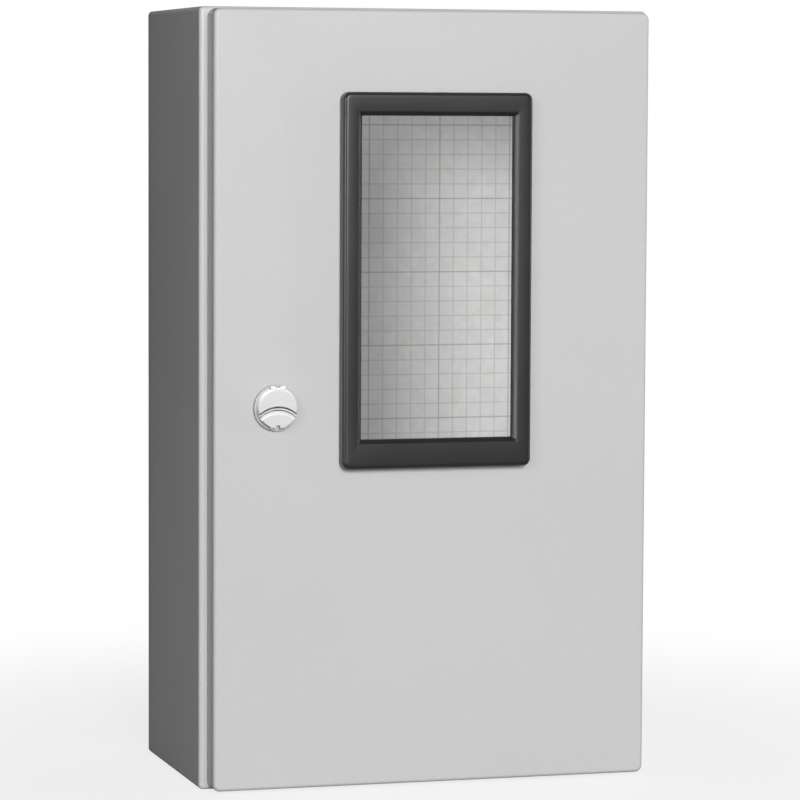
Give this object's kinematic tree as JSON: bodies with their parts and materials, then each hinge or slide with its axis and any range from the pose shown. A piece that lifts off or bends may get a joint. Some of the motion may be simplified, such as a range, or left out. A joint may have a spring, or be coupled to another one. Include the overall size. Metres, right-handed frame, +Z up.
{
  "type": "steel wall enclosure",
  "caption": "Sheet steel wall enclosure with a glazed hinged door, cam lock, removable mounting plate and bottom cable entry plate.",
  "frame": {"origin": "middle of the four wall fixing holes, on the outer face of the back", "axes": "+Z up, +Y towards the wall, +X to the right of someone facing the door"},
  "size_m": [0.3, 0.179, 0.5],
  "materials": {
    "body_paint": "fine textured powder coat, light grey",
    "door_paint": "fine textured powder coat, light grey",
    "galvanised_sheet": "galvanised sheet marked with a fine grid",
    "zinc_fasteners": "bright zinc plate",
    "hinge_steel": "zinc plated steel, satin",
    "brass_studs": "plain brass",
    "lock_metal": "dark die cast metal, satin",
    "black_plastic": "fine grained black moulding",
    "cover_plastic": "light grey moulding, satin gloss",
    "clear_pane": "clear",
    "seal_foam": "foamed seal, matt black",
    "seal_rubber": "solid rubber, matt black"
  },
  "bodies": {
    "cabinet": {"wrapper": "body_paint", "back_panel": "body_paint", "mounting_plate": "galvanised_sheet", "plate_studs": "zinc_fasteners", "plate_spacers": "zinc_fasteners", "plate_washers": "zinc_fasteners", "plate_nuts": "zinc_fasteners", "gland_plate": "body_paint", "gland_gasket": "seal_rubber", "gland_studs": "zinc_fasteners", "gland_nuts": "zinc_fasteners", "hinge_bracket_upper": "hinge_steel", "hinge_bracket_lower": "hinge_steel", "bracket_screws": "zinc_fasteners", "body_earth_stud": "brass_studs", "body_earth_nut": "brass_studs", "body_earth_washer": "zinc_fasteners"},
    "door": {"door_panel": "door_paint", "door_seal": "seal_foam", "hinge_leaf_upper": "hinge_steel", "hinge_leaf_lower": "hinge_steel", "leaf_nuts": "zinc_fasteners", "hinge_pin_upper": "hinge_steel", "hinge_pin_lower": "hinge_steel", "window_frame": "black_plastic", "window_seal": "seal_rubber", "pane_seal": "seal_rubber", "window_pane": "clear_pane", "window_retainer": "black_plastic", "window_screws": "zinc_fasteners", "door_earth_stud": "brass_studs", "door_earth_nut": "brass_studs", "door_earth_washer": "zinc_fasteners", "lock_housing": "lock_metal", "lock_seal": "seal_rubber", "lock_nut": "zinc_fasteners", "cover_pin": "hinge_steel"},
    "lock": {"lock_barrel": "lock_metal", "lock_cam": "zinc_fasteners", "cam_washer": "zinc_fasteners", "cam_screw": "zinc_fasteners"},
    "dust_cover": {"lock_cover": "cover_plastic"}
  },
  "joints": [
    {"name": "door_hinge", "type": "hinge", "parent": "cabinet", "child": "door", "pos_m": [0.138, -0.161, 0], "axis": [0, 0, 1], "range_deg": [0, 120]},
    {"name": "lock_turn", "type": "hinge", "parent": "door", "child": "lock", "pos_m": [-0.105, -0.16, -0.0035], "axis": [0, 1, 0], "range_deg": [0, 90]},
    {"name": "cover_flip", "type": "hinge", "parent": "door", "child": "dust_cover", "pos_m": [-0.105, -0.1749, 0.0085], "axis": [-1, 0, 0], "range_deg": [0, 110]}
  ]
}
